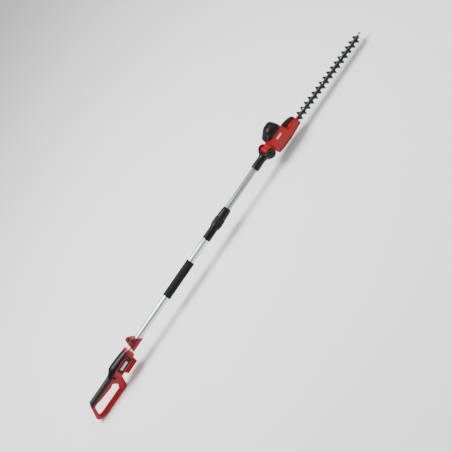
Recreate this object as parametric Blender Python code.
"""Cordless pole hedge trimmer: a D-handle, a telescopic pole and a tilting cutting head.

Every size is in millimetres in the tool's own frame and is turned into metres when a mesh is made.
In that frame x runs forwards from the rear of the handle, z = 0 and y = 0 lie on the pole's axis,
+z is the grip's and the motor's side, and +y is the user's left.
The cutting head has a frame of its own, with its origin on the tilt pivot.
"""
import math

import bmesh
import bpy
from mathutils import Matrix, Vector
from mathutils.geometry import tessellate_polygon

# --- driving dimensions, millimetres and degrees -------------------------------------------------
MM = 0.001
GAP = 0.3                      # play left between pieces that touch
ORIGIN_X = 926.5               # tool-frame x of the part's origin, half way along it
FLOOR_Z = 81.0                 # height of the pole's axis above the handle's underside

WALL = 2.5                     # moulded shells
PIVOT_X = 1249.0               # tilt pivot, along the pole
DROOP = 2.0                    # the head's nose points this far below the pole

LOOP_HALF = 12.0               # half width of the D-loop
HOUSING_HALF = 25.0            # half width of the front housing
HOUSING_REAR, HOUSING_FRONT = 186.0, 285.0
HOUSING_LOW, ARCH_Z, SPLIT_Z = -27.5, 2.5, 12.3
GRIP_REAR, GRIP_FRONT = 32.0, 159.5

OUTER_R, OUTER_BORE = 14.5, 13.3
INNER_R, INNER_BORE = 12.0, 10.8
OUTER_START, OUTER_END = 215.0, 884.0
INNER_START, INNER_END = 300.0, 1210.0
FOAM_START, FOAM_END, FOAM_R = 552.0, 721.0, 17.3
LOCK_START, NUT_START, NUT_END = 826.0, 884.3, 976.0

KNUCKLE_R, KNUCKLE_HALF = 16.0, 28.0
CHEEK_R, CHEEK_IN, CHEEK_OUT = 20.8, 29.0, 37.0

MOTOR_X, MOTOR_R = 72.0, 18.0
GEAR_MODULE = 1.0
PINION_TEETH, GEAR_TEETH = 10, 56
GEAR_X = MOTOR_X + GEAR_MODULE * (PINION_TEETH + GEAR_TEETH) / 2
GEAR_LOW, GEAR_HIGH = -14.0, -6.0
ECCENTRIC_THROW, ECCENTRIC_R = 6.0, 6.0
BLADE_TRAVEL = 6.0             # each blade, each way

TOOTH_PITCH, TEETH_PER_SIDE = 25.0, 16
FIRST_TOOTH_LEFT, FIRST_TOOTH_RIGHT = 199.0, 186.5
BLADE_HALF, TOOTH_TIP_Y = 10.5, 31.0
TOOTH_BASE, TOOTH_TIP = 17.0, 5.0
BAR_LOW, BAR_HIGH = -21.6, -18.6
UPPER_LOW, UPPER_HIGH = -24.1, -21.9
LOWER_LOW, LOWER_HIGH = -26.6, -24.4
BLADE_REAR, BLADE_TIP, BAR_TIP = 78.0, 586.0, 601.0
BOLT_STATIONS = [223.5 + 62.8 * i for i in range(6)]
BOLT_R = 2.4

SOLE_LOW, SOLE_HIGH = -34.8, -29.3


# --- frames and materials ------------------------------------------------------------------------
for old in list(bpy.data.objects):
    bpy.data.objects.remove(old)


def frame(name, parent=None, at=(0, 0, 0), pitch=0.0):
    """An empty that carries the pieces of one moving body."""
    empty = bpy.data.objects.new(name, None)
    empty.empty_display_size = 0.03
    empty.location = Vector(at) * MM
    empty.rotation_euler = (0, math.radians(pitch), 0)
    empty.parent = parent
    bpy.context.scene.collection.objects.link(empty)
    return empty


def material(name, colour, roughness, metallic=0.0):
    """A Principled finish: linear colour, roughness and metalness."""
    made = bpy.data.materials.new(name)
    made.use_nodes = True
    made.diffuse_color = (*colour, 1)
    shader = made.node_tree.nodes["Principled BSDF"]
    shader.inputs["Base Color"].default_value = (*colour, 1)
    shader.inputs["Roughness"].default_value = roughness
    shader.inputs["Metallic"].default_value = metallic
    return made


TOOL = frame("tool_frame", at=(-ORIGIN_X, 0, FLOOR_Z))
POLE = frame("upper_pole_frame", TOOL)
HEAD = frame("head_frame", POLE, at=(PIVOT_X, 0, 0), pitch=DROOP)

RED = material("red_abs", (0.52, 0.006, 0.01), 0.35)
DARK_RED = material("dark_red_nylon", (0.30, 0.004, 0.008), 0.45)
BLACK = material("black_abs", (0.012, 0.014, 0.016), 0.45)
SOFT = material("soft_grip_rubber", (0.015, 0.018, 0.02), 0.7)
FOAM = material("eva_foam", (0.01, 0.012, 0.014), 0.9)
ALUMINIUM = material("brushed_aluminium", (0.62, 0.66, 0.66), 0.3, 1.0)
STEEL = material("zinc_plated_steel", (0.5, 0.5, 0.5), 0.35, 1.0)
BLADE = material("blackened_blade_steel", (0.03, 0.033, 0.035), 0.4, 1.0)
GREY = material("bar_steel", (0.2, 0.21, 0.21), 0.4, 1.0)
BRASS = material("terminal_brass", (0.7, 0.5, 0.2), 0.3, 1.0)
NYLON = material("white_nylon", (0.7, 0.7, 0.66), 0.5)
PVC = material("cable_pvc", (0.01, 0.01, 0.01), 0.5)


# --- mesh tools: each gives a closed bmesh in millimetres ----------------------------------------
def bend(centre, radius, start, end, steps):
    """Points on an arc, angles in degrees, both ends included."""
    angles = [math.radians(start + (end - start) * i / steps) for i in range(steps + 1)]
    return [(centre[0] + radius * math.cos(a), centre[1] + radius * math.sin(a)) for a in angles]


def inset(loop, distance):
    """Moves each edge of a counter-clockwise loop to its left by distance."""
    moved = []
    for i, corner in enumerate(loop):
        before = (Vector(corner) - Vector(loop[i - 1])).normalized()
        after = (Vector(loop[(i + 1) % len(loop)]) - Vector(corner)).normalized()
        left = Vector((-before.y, before.x)), Vector((-after.y, after.x))
        step = (left[0] + left[1]) / (1 + left[0].dot(left[1]))
        moved.append(tuple(Vector(corner) + distance * step))
    return moved


def placed(plane, u, v, across):
    """A point from its two coordinates in a plane and the one across it."""
    return {"XZ": (u, across, v), "XY": (u, v, across), "YZ": (across, u, v)}[plane]


def finish(mesh):
    """Turns every face outwards."""
    bmesh.ops.recalc_face_normals(mesh, faces=mesh.faces)
    return mesh


def prism(outline, low, high, plane="XZ", holes=(), chamfer_low=0.0, chamfer_high=0.0):
    """An outline, with holes, carried across its plane, with optional chamfers round its ends."""
    layers = [(low, chamfer_low), (high, chamfer_high)]
    if chamfer_low:
        layers.insert(1, (low + chamfer_low, 0.0))
    if chamfer_high:
        layers.insert(-1, (high - chamfer_high, 0.0))
    mesh = bmesh.new()
    rows = []
    for across, cut in layers:
        loops = [inset(outline, cut)] + [inset(hole, -cut) for hole in holes]
        rows.append([[mesh.verts.new(placed(plane, u, v, across)) for u, v in loop] for loop in loops])
    for lower, upper in zip(rows, rows[1:]):
        for below, above in zip(lower, upper):
            for i in range(len(below)):
                mesh.faces.new((below[i - 1], below[i], above[i], above[i - 1]))
    for row, (_, cut) in ((rows[0], layers[0]), (rows[-1], layers[-1])):
        loops = [inset(outline, cut)] + [inset(hole, -cut) for hole in holes]
        corners = [vert for loop in row for vert in loop]
        for a, b, c in tessellate_polygon([[Vector((u, v, 0)) for u, v in loop] for loop in loops]):
            mesh.faces.new((corners[a], corners[b], corners[c]))
    return finish(mesh)


def loft(rings):
    """Rings of equal length joined in order, with the first and the last one capped."""
    mesh = bmesh.new()
    rows = [[mesh.verts.new(point) for point in ring] for ring in rings]
    for lower, upper in zip(rows, rows[1:]):
        for i in range(len(lower)):
            mesh.faces.new((lower[i - 1], lower[i], upper[i], upper[i - 1]))
    mesh.faces.new(rows[0])
    mesh.faces.new(rows[-1])
    return finish(mesh)


def turned(profile, axis="X", centre=(0, 0, 0), segments=24):
    """A profile of (place along the axis, radius) points turned about the axis.

    A profile that never touches the axis closes on itself and makes a ring.
    """
    mesh = bmesh.new()
    rings = []
    for along, radius in profile:
        ring = []
        for i in range(segments if radius else 1):
            angle = 2 * math.pi * i / segments
            u, v = radius * math.cos(angle), radius * math.sin(angle)
            point = {"X": (along, u, v), "Y": (u, along, v), "Z": (u, v, along)}[axis]
            ring.append(mesh.verts.new(Vector(point) + Vector(centre)))
        rings.append(ring)
    ends = [] if profile[0][1] == 0 else rings[:1]
    for lower, upper in zip(rings, rings[1:] + ends):
        for i in range(segments):
            below = [lower[i - 1], lower[i]] if len(lower) > 1 else lower
            above = [upper[i], upper[i - 1]] if len(upper) > 1 else upper
            mesh.faces.new(below + above)
    return finish(mesh)


def rod(start, end, radius, axis="X", centre=(0, 0, 0), segments=16):
    """A plain round bar."""
    return turned([(start, 0), (start, radius), (end, radius), (end, 0)], axis, centre, segments)


def sleeve(start, end, bore, radius, axis="X", centre=(0, 0, 0), segments=24):
    """A plain round tube."""
    return turned([(start, bore), (start, radius), (end, radius), (end, bore)], axis, centre, segments)


def block(x, y, z):
    """A box between three pairs of limits."""
    return prism([(x[0], z[0]), (x[1], z[0]), (x[1], z[1]), (x[0], z[1])], y[0], y[1])


def group(meshes):
    """Several separate solids in one mesh."""
    whole = bmesh.new()
    for mesh in meshes:
        piece = bpy.data.meshes.new("piece")
        mesh.to_mesh(piece)
        whole.from_mesh(piece)
        bpy.data.meshes.remove(piece)
        mesh.free()
    return whole


def data_from(mesh, name, origin):
    """Blender mesh data in metres, measured from origin."""
    bmesh.ops.translate(mesh, verts=mesh.verts, vec=-Vector(origin))
    bmesh.ops.scale(mesh, verts=mesh.verts, vec=(MM, MM, MM))
    data = bpy.data.meshes.new(name)
    mesh.to_mesh(data)
    mesh.free()
    return data


def part(name, mesh, finish_material, parent, origin=(0, 0, 0), steps=(), solver="EXACT"):
    """One named sub-part; steps are (operation, mesh) Booleans, done in order."""
    data = data_from(mesh, name, origin)
    data.materials.append(finish_material)
    data.shade_smooth()
    data.set_sharp_from_angle(angle=math.radians(35))
    made = bpy.data.objects.new(name, data)
    made.location = Vector(origin) * MM
    made.parent = parent
    bpy.context.scene.collection.objects.link(made)
    for number, (operation, tool) in enumerate(steps, 1):
        cutter = bpy.data.objects.new(f"cutter_{name}_{number}", data_from(tool, "cutter", (0, 0, 0)))
        cutter.parent = parent
        cutter.hide_render = True
        cutter.display_type = "WIRE"
        bpy.context.scene.collection.objects.link(cutter)
        modifier = made.modifiers.new(f"step_{number}", "BOOLEAN")
        modifier.operation = operation
        modifier.solver = solver
        modifier.object = cutter
    return made


# --- handle --------------------------------------------------------------------------------------
LOOP_OUTLINE = [
    (-6, -53), (-6, -59), (2, -68), (32, -81), (164, -81), (173, -77), (200, -26),
    (200, 0.4), (160, 4), (30, 4), (24, -1),
]
LOOP_HOLE = [
    (14, -54), (17, -61), (25, -64.5), (140, -64.5), (157, -45), (157, -40), (147, -22), (39, -14), (33, -18),
]
HANDLE_BOSSES = [(52, -73), (176, -50), (42, -5), (272, -19.5)]
BOSS_R, SCREW_HEAD_R, SCREW_R = 4.6, 3.0, 1.4
BUTTON_X, BUTTON_Z, BUTTON_R = 172.0, -10.0, 5.5
TRIGGER_PIN = (140.0, 0.0, -11.5)


HOUSING_TAPER = (HOUSING_HALF - 23.0) / (275 - HOUSING_REAR - 8)   # each side's slope in plan


def boss_reach(x):
    """Half width of the handle where a boss stands."""
    return HOUSING_HALF - 2.5 if x > HOUSING_REAR else LOOP_HALF


def housing_ring(x, half, low, top, side, cut):
    """Half of the front housing's section, as an outline in the YZ plane at x."""
    inner = -6.0 if cut else -3.0
    rim = top + (1.0 if cut else 0.0)
    corners = [(inner, low + cut), (half - 5, low + cut), (half - cut, low + 5), (half - cut, ARCH_Z),
               (0.97 * half - cut, ARCH_Z + 0.57 * (top - ARCH_Z)), (0.9 * half - cut, rim), (inner, rim)]
    return [(x, side * y, z) for y, z in corners]


def housing(side, cut):
    """The lower front housing on one side: its outer form, or the hollow inside its wall."""
    start = HOUSING_REAR + cut
    front = HOUSING_FRONT + (1 if cut else 0)
    return loft([
        housing_ring(start, HOUSING_HALF - 5, HOUSING_LOW, 7.5, side, cut),
        housing_ring(start + 8, HOUSING_HALF, HOUSING_LOW, SPLIT_Z, side, cut),
        housing_ring(275, 23.0, HOUSING_LOW, SPLIT_Z, side, cut),
        housing_ring(front, 21.5, HOUSING_LOW + 6, SPLIT_Z, side, cut),
    ])


def handle_shell(name, side):
    """One moulded half of the handle, hollow, with a boss at each screw."""
    def across(low, high):
        return (low, high) if side > 0 else (-high, -low)

    chamfer = {"chamfer_high" if side > 0 else "chamfer_low": 3.0}
    body = prism(LOOP_OUTLINE, *across(-2, LOOP_HALF), holes=[LOOP_HOLE], **chamfer)
    hollow = prism(inset(LOOP_OUTLINE, WALL), *across(-5, LOOP_HALF - WALL), holes=[inset(LOOP_HOLE, -WALL)])
    bosses = group([rod(*across(-1, boss_reach(x) - 0.9), BOSS_R, "Y", (x, 0, z), 10)
                    for x, z in HANDLE_BOSSES])
    bores = [rod(*across(-4, boss_reach(x) + 2 if side > 0 else 8.5), SCREW_R + GAP, "Y", (x, 0, z), 10)
             for x, z in HANDLE_BOSSES]
    steps = [
        ("UNION", housing(side, 0)),
        ("DIFFERENCE", hollow),
        ("DIFFERENCE", housing(side, WALL)),
        ("UNION", bosses),
        ("DIFFERENCE", group(bores)),
        ("DIFFERENCE", block((53, 148), (-8.6, 8.6), (-27, -11))),
        ("DIFFERENCE", rod(HOUSING_FRONT - 40, HOUSING_FRONT + 3, OUTER_R + GAP, segments=32)),
        ("INTERSECT", block((-20, 320), across(GAP / 2, 60), (-100, 60))),
    ]
    if side > 0:
        heads = [rod(boss_reach(x) - 3.2, boss_reach(x) + 3, SCREW_HEAD_R + GAP, "Y", (x, 0, z), 10)
                 for x, z in HANDLE_BOSSES]
        steps.append(("DIFFERENCE", group(heads)))
    else:
        steps.append(("DIFFERENCE", rod(-15, -8, BUTTON_R + GAP, "Y", (BUTTON_X, 0, BUTTON_Z), 20)))
    part(name, body, RED, TOOL, steps=steps, solver="MANIFOLD")


handle_shell("handle_shell_left", 1)
handle_shell("handle_shell_right", -1)


def screw(x, z, head, tip):
    """A countersunk shell screw along Y, from its head's face to its tip."""
    return turned([(head, 0), (head, SCREW_HEAD_R), (head - 1.8, SCREW_HEAD_R), (head - 1.8, SCREW_R),
                   (tip, SCREW_R), (tip, 0)], "Y", (x, 0, z), 10)


for number, (x, z) in enumerate(HANDLE_BOSSES, 1):
    part(f"handle_screw_{number}", screw(x, z, boss_reach(x) - 1.1, -8.0), STEEL, TOOL)


def arch_ring(x, half, top, foot, wall, spring, sweep=90.0):
    """A section like an upside-down U at x: the outer arch, then the inner one back.

    The arch is the part of an ellipse within sweep degrees of its crown; straight feet hang below a full one.
    """
    outer, inner = [], []
    for i in range(9):
        angle = math.radians(90 - sweep + 2 * sweep * i / 8)
        outer.append((x, half * math.cos(angle), spring + (top - spring) * math.sin(angle)))
        inner.append((x, (half - wall) * math.cos(angle), spring + (top - wall - spring) * math.sin(angle)))
    if sweep < 90:
        return outer + inner[::-1]
    return ([(x, half, foot)] + outer + [(x, -half, foot), (x, wall - half, foot)] + inner[::-1]
            + [(x, half - wall, foot)])


def leaned(ring, rear, slope):
    """Leans a ring so that its x grows with z, as the handle's rear end does."""
    return [(rear + slope * z, y, z) for x, y, z in ring]


part("soft_grip", loft([
    leaned(arch_ring(0, 13.0, 11.0, -4.2, 1.2, -4.0), GRIP_REAR - 3, 0.4),
    leaned(arch_ring(0, 15.0, 13.3, -4.2, 2.7, -4.0), GRIP_REAR, 0.4),
    arch_ring(GRIP_FRONT, 15.0, 13.3, -4.2, 2.7, -4.0),
]), SOFT, TOOL, steps=[("DIFFERENCE", block((20, 170), (-12.3, 12.3), (-12, 4.3)))])

SPLIT_SWEEP = 64.5             # degrees from the crown at which the cover meets the shells
part("top_cover", loft([
    arch_ring(GRIP_FRONT + GAP, 15.2, 13.8, 0, 2.6, -4.0, 89.0),
    arch_ring(168.0, 17.5, 17.0, 0, 2.6, -1.0, 80.0),
    arch_ring(HOUSING_REAR + 8, HOUSING_HALF, 28.5, 0, WALL, ARCH_Z, SPLIT_SWEEP),
    arch_ring(HOUSING_REAR + 24, HOUSING_HALF, 28.5, 0, WALL, ARCH_Z, SPLIT_SWEEP),
    arch_ring(HOUSING_FRONT - 8, 22.8, 24.0, 0, WALL, ARCH_Z, SPLIT_SWEEP - 7),
    arch_ring(HOUSING_FRONT, 21.5, 22.5, 0, WALL, ARCH_Z, SPLIT_SWEEP - 10),
]), BLACK, TOOL, steps=[("DIFFERENCE", block((150, 199), (-12.3, 12.3), (-14, 4.6)))])


def collar_ring(x, cut):
    """The front ring's section: the housing's front face, rounded."""
    points = []
    for sign, centre_z, radius, start in ((1, 10, 11.5, 0), (-1, 10, 11.5, 90), (-1, -12, 7.5, 180),
                                          (1, -12, 7.5, 270)):
        arc = bend((sign * (21.5 - radius), centre_z), radius - cut, start, start + 90, 5)
        points += [(x, y, z) for y, z in arc]
    return points


part("front_collar", loft([collar_ring(HOUSING_FRONT + GAP, 0), collar_ring(HOUSING_FRONT + 7, 0),
                           collar_ring(HOUSING_FRONT + 11, 2.5)]), RED, TOOL,
     steps=[("DIFFERENCE", rod(HOUSING_FRONT - 5, HOUSING_FRONT + 20, OUTER_R + GAP, segments=32))])

TRIGGER_OUTLINE = [(56, -13.5), (59, -18), (64, -19.5), (126, -25), (138, -25), (145, -19), (144.4, -9),
                   (140, -7.2), (136, -8.5), (133, -13.5), (126, -14.5)]
part("trigger", prism(TRIGGER_OUTLINE, -8.0, 8.0, holes=[bend((140, -11.5), 2.3, 0, 324, 9)],
                      chamfer_low=1.2, chamfer_high=1.2), RED, TOOL, TRIGGER_PIN)
part("trigger_pin", rod(-9.2, 9.2, 2.0, "Y", TRIGGER_PIN, 12), STEEL, TOOL)
part("trigger_switch", prism([(104, -10.2), (130, -10.2), (130, -0.2), (104, -0.2)], -7.5, 7.5,
                             chamfer_low=1.0, chamfer_high=1.0), BLACK, TOOL)
part("lock_off_button", turned([
    (-15.4, 0), (-15.4, 4.2), (-14.6, BUTTON_R), (-9.0, BUTTON_R), (-9.0, 3.0), (-6.5, 3.0), (-6.5, 0),
], "Y", (BUTTON_X, 0, BUTTON_Z), 20), BLACK, TOOL, (BUTTON_X, 0, BUTTON_Z))

for side, word in ((1, "left"), (-1, "right")):
    face = HOUSING_HALF + GAP
    panel = [(204, -14), (208, -18), (274, -18), (278, -14), (278, 4), (274, 8), (208, 8), (204, 4)]
    limits = (face, face + 1.2) if side > 0 else (-face - 1.2, -face)
    plate = prism(panel, *limits)
    for vert in plate.verts:
        vert.co.y -= side * HOUSING_TAPER * (vert.co.x - HOUSING_REAR - 8)
    part(f"side_panel_{word}", plate, BLACK, TOOL)

DOCK_HALF = 28.0
DOCK_TOP = HOUSING_LOW - GAP
part("battery_dock", prism([(219, -42), (279, -42), (282, DOCK_TOP), (215, DOCK_TOP)], -DOCK_HALF, DOCK_HALF,
                           chamfer_low=2, chamfer_high=2), RED, TOOL, steps=[
    ("DIFFERENCE", group([block((210, 290), (24.0, 32), (-38, -33)),
                          block((210, 290), (-32, -24.0), (-38, -33))])),
    ("DIFFERENCE", block((228, 262), (-16, 16), (-48, -34))),
])
part("terminal_block", block((232, 256), (-15.4, 15.4), (-36.4, -34.3)), BRASS, TOOL, steps=[
    ("UNION", group([block((234, 252), (y - 0.5, y + 0.5), (-42, -36)) for y in (-11.0, -4.0, 4.0, 11.0)]))])

HANDLE_CABLE_ROUTE = [(132, 0, -3.7), (150, 0, -3.7), (164, 0, -6), (190, 0, -6.2), (204, 0, -4), (216, 0, 0),
                      (228, 0, 0)]


def round_cable(points, radius, segments=8):
    """A cable along a route that runs mostly along X."""
    return loft([[(x, y + radius * math.cos(2 * math.pi * i / segments),
                   z + radius * math.sin(2 * math.pi * i / segments)) for i in range(segments)]
                 for x, y, z in points])


part("handle_cable", round_cable(HANDLE_CABLE_ROUTE, 2.8), PVC, TOOL)

# --- strap eye clamp -----------------------------------------------------------------------------
CLAMP_X, EYE_Z, CLAMP_BOLT_X, CLAMP_BOLT_Z = 330.0, 35.0, 335.0, 20.5
CLAMP_SIDE = [(301, -18.3), (365, -18.3), (365, -12), (340.5, 37), (336, 42), (330, 44), (324, 42),
              (319.5, 37), (301, -12)]
CLAMP_SECTION = [(GAP / 2, -18.4), *bend((0, 0), 18.4, -75, 45, 6), (13, 27), (5.5, 33), (5.5, 45),
                 (GAP / 2, 45)]


def clamp_half(name, side):
    """One half of the clamp: the tube's ring below, the bolt's cheek and the strap's eye above."""
    section = [(side * y, z) for y, z in CLAMP_SECTION]
    body = prism(section if side > 0 else section[::-1], 295, 370, "YZ")
    holes = [rod(-30, 30, 4.5, "Y", (CLAMP_X, 0, EYE_Z), 20),
             rod(-30, 30, 3.3, "Y", (CLAMP_BOLT_X, 0, CLAMP_BOLT_Z), 16)]
    pocket = rod(8.5 * side, 30 * side, 7.0, "Y", (CLAMP_BOLT_X, 0, CLAMP_BOLT_Z), 16)
    part(name, body, DARK_RED, TOOL, steps=[
        ("INTERSECT", prism(CLAMP_SIDE, -40, 40)),
        ("DIFFERENCE", rod(280, 380, OUTER_R + GAP, segments=32)),
        ("DIFFERENCE", group(holes)),
        ("DIFFERENCE", pocket),
    ])


clamp_half("strap_clamp_left", 1)
clamp_half("strap_clamp_right", -1)
CLAMP_BOLT_AT = (CLAMP_BOLT_X, 0, CLAMP_BOLT_Z)
part("clamp_bolt", turned([(-12.5, 0), (-12.5, 5.2), (-8.9, 5.2), (-8.9, 3.0), (13.0, 3.0), (13.0, 0)], "Y",
                          CLAMP_BOLT_AT, 16), STEEL, TOOL)
part("clamp_nut", sleeve(8.8, 12.6, 3.9, 6.2, "Y", CLAMP_BOLT_AT, 6), STEEL, TOOL)

# --- telescopic pole -----------------------------------------------------------------------------
part("outer_tube", sleeve(OUTER_START, OUTER_END, OUTER_BORE, OUTER_R, segments=32), ALUMINIUM, TOOL)
part("foam_grip", turned([
    (FOAM_START, OUTER_R + GAP), (FOAM_START, FOAM_R - 1), (FOAM_START + 2, FOAM_R), (FOAM_END - 2, FOAM_R),
    (FOAM_END, FOAM_R - 1), (FOAM_END, OUTER_R + GAP),
], segments=32), FOAM, TOOL)
part("lock_body", turned([
    (LOCK_START, OUTER_R + GAP), (LOCK_START, 17.0), (LOCK_START + 3, 18.0), (NUT_START - GAP, 18.0),
    (NUT_START - GAP, 16.4), (916, 16.4), (916, OUTER_R + GAP),
], segments=32), BLACK, TOOL)
part("collet", turned([
    (NUT_START + 0.6, INNER_R + GAP), (NUT_START + 0.6, OUTER_R), (920, OUTER_R), (935, 15.4),
    (944, INNER_R + 1.2), (944, INNER_R + GAP),
], segments=24), NYLON, TOOL, steps=[("DIFFERENCE", block((900, 950), (-0.8, 0.8), (5, 20)))])
part("lock_nut", turned([
    (NUT_START, 16.9), (NUT_START, 19.2), (891, 21.3), (899, 22.0), (928, 20.6), (958, 18.6), (969, 17.4),
    (974, 15.4), (NUT_END, INNER_R + 0.6), (950, INNER_R + 0.6), (937, 16.3), (930, 16.9),
], segments=32), BLACK, TOOL)

part("inner_tube", sleeve(INNER_START, INNER_END, INNER_BORE, INNER_R, segments=32), ALUMINIUM, POLE)
part("guide_bush", turned([
    (290, 8.0), (290, 12.9), (INNER_START - GAP, 12.9), (INNER_START - GAP, INNER_BORE - GAP),
    (316, INNER_BORE - GAP), (316, 8.0),
], segments=24), NYLON, POLE)
part("coiled_cable", sleeve(320, 700, 5.5, 9.5, segments=16), PVC, POLE)

# --- swivel fork ---------------------------------------------------------------------------------
SLEEVE_START = -86.0


def fork_ring(x, half_y, half_z, corner):
    """A rounded rectangle in the YZ plane, x measured from the pivot."""
    points = []
    for sign_y, sign_z, start in ((1, 1, 0), (-1, 1, 90), (-1, -1, 180), (1, -1, 270)):
        centre = (sign_y * (half_y - corner), sign_z * (half_z - corner))
        points += [(PIVOT_X + x, y, z) for y, z in bend(centre, corner, start, start + 90, 5)]
    return points


fork_body = loft([
    fork_ring(SLEEVE_START, 16.4, 16.4, 16.3), fork_ring(SLEEVE_START + 2, 17.2, 17.2, 17.1),
    fork_ring(-30, 18.4, 18.2, 17.9), fork_ring(-24.5, 27, 18, 13), fork_ring(-18.5, CHEEK_OUT, 17.2, 8),
    fork_ring(-6, CHEEK_OUT, 17, 8),
])
PIVOT = (PIVOT_X, 0, 0)
part("swivel_fork", fork_body, BLACK, POLE, PIVOT, steps=[
    ("DIFFERENCE", rod(PIVOT_X + SLEEVE_START - 2, PIVOT_X - 38.5, INNER_R + GAP, segments=32)),
    ("DIFFERENCE", rod(PIVOT_X - 45, PIVOT_X, 6.0, segments=16)),
    ("UNION", rod(-CHEEK_OUT, CHEEK_OUT, CHEEK_R, "Y", PIVOT, 36)),
    ("DIFFERENCE", rod(-CHEEK_IN, CHEEK_IN, CHEEK_R + 1.5, "Y", PIVOT, 40)),
    ("DIFFERENCE", rod(-CHEEK_OUT - 5, CHEEK_OUT + 5, 4.3, "Y", PIVOT, 20)),
    ("DIFFERENCE", rod(-CHEEK_OUT - 5, -33.4, 9.4, "Y", PIVOT, 24)),
    ("DIFFERENCE", rod(32.6, CHEEK_OUT + 5, 8.2, "Y", PIVOT, 24)),
], solver="MANIFOLD")
part("tilt_release_button", turned([
    (-40.0, 0), (-40.0, 6.5), (-39.0, 8.6), (-37.4, 9.0), (-36.8, 9.0), (-36.8, 0),
], "Y", PIVOT, 24), BLACK, POLE, PIVOT)
part("pivot_bolt", turned([
    (-33.0, 0), (-33.0, 4.0), (32.9, 4.0), (32.9, 7.6), (38.5, 7.6), (40.0, 6.0), (40.0, 0),
], "Y", PIVOT, 16), STEEL, POLE, PIVOT)


# --- cutting head: x is now measured from the pivot ----------------------------------------------
def head_ring(x, half, low, high, corner):
    """A rounded rectangle in the YZ plane of the head."""
    points = []
    for sign, centre_z, start in ((1, high - corner, 0), (-1, high - corner, 90), (-1, low + corner, 180),
                                  (1, low + corner, 270)):
        arc = bend((sign * (half - corner), centre_z), corner, start, start + 90, 2)
        points += [(x, y, z) for y, z in arc]
    return points


HEAD_STATIONS = [
    (22.5, 28.5, 22, 5), (26, 30.5, 31, 6), (34, 33, 37, 7), (47, 34.5, 40, 7), (98, 34.5, 40, 7),
    (108, 33.5, 37, 7), (114, 32.5, 4, 6), (140, 28, 1, 6), (166, 22.5, -4, 5), (173, 19, -7, 4),
]
SHELL_LOW = SOLE_HIGH + GAP
COVER_LOW = 40.3
HEAD_SCREWS = [(48, 29), (103, 26), (148, -12.8)]
HEAD_REACH = [34.5, 34.0, 26.3]    # half width of the head at each screw


def head_form(cut):
    """The head's outer form, or the hollow inside its wall."""
    rings = []
    for number, (x, half, high, corner) in enumerate(HEAD_STATIONS):
        if cut:
            x += {0: cut, len(HEAD_STATIONS) - 1: -cut}.get(number, 0)
        top = COVER_LOW + 5 if cut and high == 40 else high - cut
        rings.append(head_ring(x, half - cut, SHELL_LOW - (3 if cut else 0), top, corner))
    return loft(rings)


def head_shell(name, side):
    """One moulded half of the head, with half of the tilt knuckle."""
    def across(low, high):
        return (low, high) if side > 0 else (-high, -low)

    half_space = block((-60, 240), across(GAP / 2, 80), (-80, 120))
    knuckle = group([rod(*across(0.1, KNUCKLE_HALF), KNUCKLE_R, "Y", (0, 0, 0), 40)])
    neck = block((6, 28), across(0.1, KNUCKLE_HALF - 0.5), (-13, 13))
    bores = [rod(-40, 40, 4.3, "Y", (0, 0, 0), 20)]
    if side < 0:
        bores = [rod(-40, -6, 10.4, "Y", (0, 0, 0), 24)]
    screw_bores = [rod(*across(-1, 40 if side > 0 else 10), SCREW_R + GAP, "Y", (x, 0, z), 10)
                   for x, z in HEAD_SCREWS]
    bosses = [rod(*across(0.1, reach - 1), BOSS_R, "Y", (x, 0, z), 10)
              for (x, z), reach in zip(HEAD_SCREWS, HEAD_REACH)]
    steps = [
        ("DIFFERENCE", head_form(WALL)),
        ("UNION", knuckle),
        ("UNION", neck),
        ("UNION", group(bosses)),
        ("INTERSECT", half_space),
        ("DIFFERENCE", group(bores)),
        ("DIFFERENCE", block((4, 34), (-5, 5), (-5.5, 5.5))),
        ("DIFFERENCE", group(screw_bores)),
        ("DIFFERENCE", block((160, 190), (-15.0, 15.0), (-31, -17.8))),
    ]
    if side < 0:
        steps.insert(6, ("DIFFERENCE", rod(-10, 40, 4.3, "Y", (0, 0, 0), 20)))
    else:
        heads = [rod(reach - 3.2, reach + 4, SCREW_HEAD_R + GAP, "Y", (x, 0, z), 12)
                 for (x, z), reach in zip(HEAD_SCREWS, HEAD_REACH)]
        steps.append(("DIFFERENCE", group(heads)))
    part(name, head_form(0), RED, HEAD, steps=steps, solver="MANIFOLD")


head_shell("head_shell_left", 1)
head_shell("head_shell_right", -1)
for number, ((x, z), reach) in enumerate(zip(HEAD_SCREWS, HEAD_REACH), 1):
    part(f"head_screw_{number}", screw(x, z, reach - 1.1, -9.0), STEEL, HEAD)


def plan_ring(z, rear, front, half, rear_r, front_r, cut=0.0):
    """A rounded rectangle in the XY plane of the head, for the motor cover, cut smaller all round."""
    points = []
    for end_x, sign, radius, start in ((front - front_r, 1, front_r, 0), (rear + rear_r, 1, rear_r, 90),
                                       (rear + rear_r, -1, rear_r, 180), (front - front_r, -1, front_r, 270)):
        arc = bend((end_x, sign * (half - radius)), radius - cut, start, start + 90, 4)
        points += [(x, y, z) for x, y in arc]
    return points


# Height, rear, front, half width, rear and front corner radii.
COVER_STATIONS = [
    (COVER_LOW, 22, 108, 33, 30, 20), (48, 32, 106, 31, 29, 20), (56, 43, 103, 28, 26, 20),
    (63, 49, 99, 24, 20, 17), (67.5, 56, 95, 19, 14, 13), (70, 63, 90, 13, 8, 8),
]
part("motor_cover", loft(
    [plan_ring(z - 2.4, *plan, cut=WALL) for z, *plan in COVER_STATIONS[:0:-1]]
    + [plan_ring(*COVER_STATIONS[0], cut=WALL)] + [plan_ring(*station) for station in COVER_STATIONS]
), BLACK, HEAD)

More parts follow.
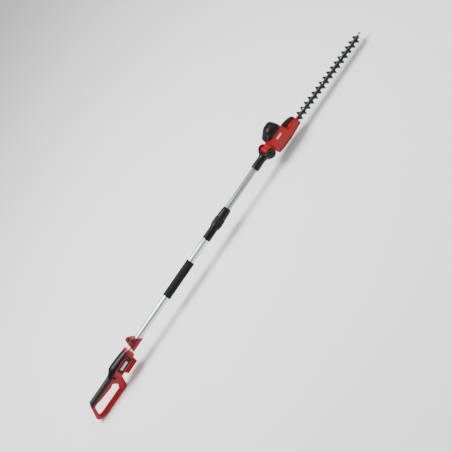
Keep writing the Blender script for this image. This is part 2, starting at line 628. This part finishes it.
# Station, half width, underside and top of the ribbed guard on the nose.
GUARD_STATIONS = [(116.5, 11, 4.4, 17.5), (124, 11, 3.5, 17), (145, 10.5, 0.6, 13.5), (160, 9.5, -2.2, 9.5),
                  (171, 8, -5.2, -0.5)]
part("nose_guard", loft([
    [(x, y, z) for y, z in ((-half, low), (half, low), (half, high - 2), (half - 3, high), (3 - half, high),
                            (-half, high - 2))]
    for x, half, low, high in GUARD_STATIONS
]), BLACK, HEAD)


def sole_outline(grow):
    """Plan of the head, tapering to the nose."""
    right = [(x, -half) for x, half, _, _ in HEAD_STATIONS if x > 22.5]
    left = [(x, -y) for x, y in reversed(right)]
    return inset(right + left, -grow)


part("sole_plate", prism(sole_outline(0.3), SOLE_LOW, SOLE_HIGH, "XY", chamfer_low=2.0), BLACK, HEAD, steps=[
    ("DIFFERENCE", turned([(-33.2, 0), (-33.2, 9.3), (-28, 9.3), (-28, 0)], "Z", (GEAR_X, 0, 0), 24)),
    ("DIFFERENCE", block((60, 190), (-12.5, 12.5), (-32.8, -28))),
])

# --- motor, gears and crank ----------------------------------------------------------------------
MOTOR_AT = (MOTOR_X, 0, 0)
GEAR_AT = (GEAR_X, 0, 0)
part("motor_can", turned([
    (-1, 0), (-1, 9), (1, MOTOR_R), (54, MOTOR_R), (57, 14), (57, 0),
], "Z", MOTOR_AT, 32), STEEL, HEAD, steps=[("DIFFERENCE", rod(-3, 4, 3.2, "Z", MOTOR_AT, 16))])
PLATE_OUTLINE = [(44, -26), (96, -29), (112, -26), (118, -14), (118, 14), (112, 26), (96, 29), (44, 26)]
part("gearbox_plate", prism(PLATE_OUTLINE, -5.6, -1.6, "XY", holes=[
                              bend((MOTOR_X, 0), 7.5, 0, 345, 23), bend((GEAR_X, 0), 9.3, 0, 345, 23),
]), ALUMINIUM, HEAD)


def gear_outline(teeth, turn):
    """Straight-sided teeth with play at the pitch circle; turn is in tooth pitches."""
    pitch_r = GEAR_MODULE * teeth / 2
    corners = ((-0.25, -1.15), (-0.12, 0.85), (0.12, 0.85), (0.25, -1.15))
    points = []
    for tooth in range(teeth):
        for offset, height in corners:
            angle = 2 * math.pi * (tooth + turn + offset) / teeth
            radius = pitch_r + GEAR_MODULE * height
            points.append((radius * math.cos(angle), radius * math.sin(angle)))
    return points


pinion_teeth = [(MOTOR_X + x, y) for x, y in gear_outline(PINION_TEETH, 0.0)]
gear_teeth = [(GEAR_X + x, y) for x, y in gear_outline(GEAR_TEETH, 0.5)]
part("motor_pinion", prism(pinion_teeth, GEAR_LOW, GEAR_HIGH, "XY"), STEEL, HEAD, MOTOR_AT,
     steps=[("UNION", rod(GEAR_HIGH - 1, 3.5, 2.3, "Z", MOTOR_AT, 12))])
part("drive_gear", prism(gear_teeth, GEAR_LOW, GEAR_HIGH, "XY",
                         holes=[[(GEAR_X + x, y) for x, y in bend((0, 0), 4.3, 0, 345, 23)]]),
     STEEL, HEAD, GEAR_AT)
UPPER_CAM_AT = (GEAR_X, ECCENTRIC_THROW, 0)
LOWER_CAM_AT = (GEAR_X, -ECCENTRIC_THROW, 0)
part("eccentric_cams", turned([
    (GEAR_LOW - GAP, 0), (GEAR_LOW - GAP, 9.0), (UPPER_HIGH + 4, 9.0), (UPPER_HIGH + 4, 4.5),
    (LOWER_LOW, 4.5), (LOWER_LOW, 0)], "Z", GEAR_AT, 24), STEEL, HEAD, GEAR_AT, steps=[
    ("UNION", rod(UPPER_LOW, UPPER_HIGH + 5, ECCENTRIC_R, "Z", UPPER_CAM_AT, 24)),
    ("UNION", rod(LOWER_LOW - 0.2, LOWER_HIGH, ECCENTRIC_R, "Z", LOWER_CAM_AT, 24)),
    ("DIFFERENCE", rod(-60, 10, 2.8, "Z", GEAR_AT, 16)),
])
part("gear_axle", turned([(-32.9, 0), (-32.9, 2.5), (-14.2, 2.5), (-14.2, 4.0), (1.5, 4.0), (1.5, 0)], "Z",
                         GEAR_AT, 16), STEEL, HEAD, GEAR_AT)
part("bearing_upper", sleeve(-5.2, -0.4, 4.3, 9.0, "Z", GEAR_AT), STEEL, HEAD)
part("bearing_lower", sleeve(-32.9, -29.4, 2.8, 9.0, "Z", GEAR_AT), STEEL, HEAD)


# --- blades --------------------------------------------------------------------------------------
def blade_outline():
    """Both rows of teeth, the left row half a pitch ahead, round a straight body."""
    points = []
    for side, first in ((-1, FIRST_TOOTH_RIGHT), (1, FIRST_TOOTH_LEFT)):
        row = []
        for tooth in range(TEETH_PER_SIDE):
            middle = first + TOOTH_PITCH * tooth
            shape = ((-TOOTH_BASE / 2, BLADE_HALF), (-TOOTH_TIP / 2, TOOTH_TIP_Y - 1.5), (-TOOTH_TIP / 4, TOOTH_TIP_Y),
                     (TOOTH_TIP / 4, TOOTH_TIP_Y), (TOOTH_TIP / 2, TOOTH_TIP_Y - 1.5), (TOOTH_BASE / 2, BLADE_HALF))
            row += [(middle + along, side * out) for along, out in shape]
        points.append(row)
    rear = [(150, BLADE_HALF), (130, 22), (BLADE_REAR, 22), (BLADE_REAR, -22), (130, -22), (150, -BLADE_HALF)]
    tip = [(BLADE_TIP - 4, -BLADE_HALF + 1), (BLADE_TIP, -5), (BLADE_TIP, 5), (BLADE_TIP - 4, BLADE_HALF - 1)]
    return rear + points[0] + tip + points[1][::-1]


def slot(middle, half, radius):
    """A round-ended slot along X."""
    return (bend((middle + half, 0), radius, -90, 90, 5) + bend((middle - half, 0), radius, 90, 270, 5))


bolt_slots = [slot(x, BLADE_TRAVEL + 0.4, BOLT_R + GAP) for x in BOLT_STATIONS]
window_x = ECCENTRIC_R + ECCENTRIC_THROW + BLADE_TRAVEL + 0.6
window_y = ECCENTRIC_R + ECCENTRIC_THROW + 0.8
crank_window = [(GEAR_X - window_x, -window_y), (GEAR_X + window_x, -window_y), (GEAR_X + window_x, window_y),
                (GEAR_X - window_x, window_y)]
part("upper_blade", prism(blade_outline(), UPPER_LOW, UPPER_HIGH, "XY", holes=bolt_slots + [crank_window]),
     BLADE, HEAD)
part("lower_blade", prism(blade_outline(), LOWER_LOW, LOWER_HIGH, "XY", holes=bolt_slots + [crank_window]),
     BLADE, HEAD)

bar_outline = ([(140, -4.2), (BLADE_TIP + 4, -4.2)] + bend((BAR_TIP - 9, 0), 9, -60, 60, 8)
               + [(BLADE_TIP + 4, 4.2), (140, 4.2)])
bolt_holes = [bend((x, 0), BOLT_R + GAP, 0, 330, 11) for x in BOLT_STATIONS]
part("guide_bar", prism(bar_outline, BAR_LOW, BAR_HIGH, "XY",
                        holes=bolt_holes + [bend((BAR_TIP - 9, 0), 5, 0, 330, 11)]), GREY, HEAD)
for number, x in enumerate(BOLT_STATIONS, 1):
    part(f"blade_bolt_{number}", turned([
        (LOWER_LOW - 3.8, 0), (LOWER_LOW - 3.8, 4.4), (LOWER_LOW - GAP, 4.4), (LOWER_LOW - GAP, BOLT_R),
        (BAR_HIGH + GAP, BOLT_R), (BAR_HIGH + GAP, 4.4), (BAR_HIGH + 2.3, 3.6), (BAR_HIGH + 2.3, 0),
    ], "Z", (x, 0, 0), 12), STEEL, HEAD)

# --- tilt lock inside the knuckle ----------------------------------------------------------------
part("lock_plunger", prism([(r * math.cos(a), r * math.sin(a)) for r, a in
                            [(9.6 if i % 2 else 8.2, 2 * math.pi * i / 24) for i in range(24)]],
                           -27.6, -20.0, holes=[bend((0, 0), 4.4, 0, 340, 17)]), STEEL, HEAD)
part("lock_spring", sleeve(-19.6, -6.6, 6.0, 8.6, "Y", (0, 0, 0), 20), STEEL, HEAD)
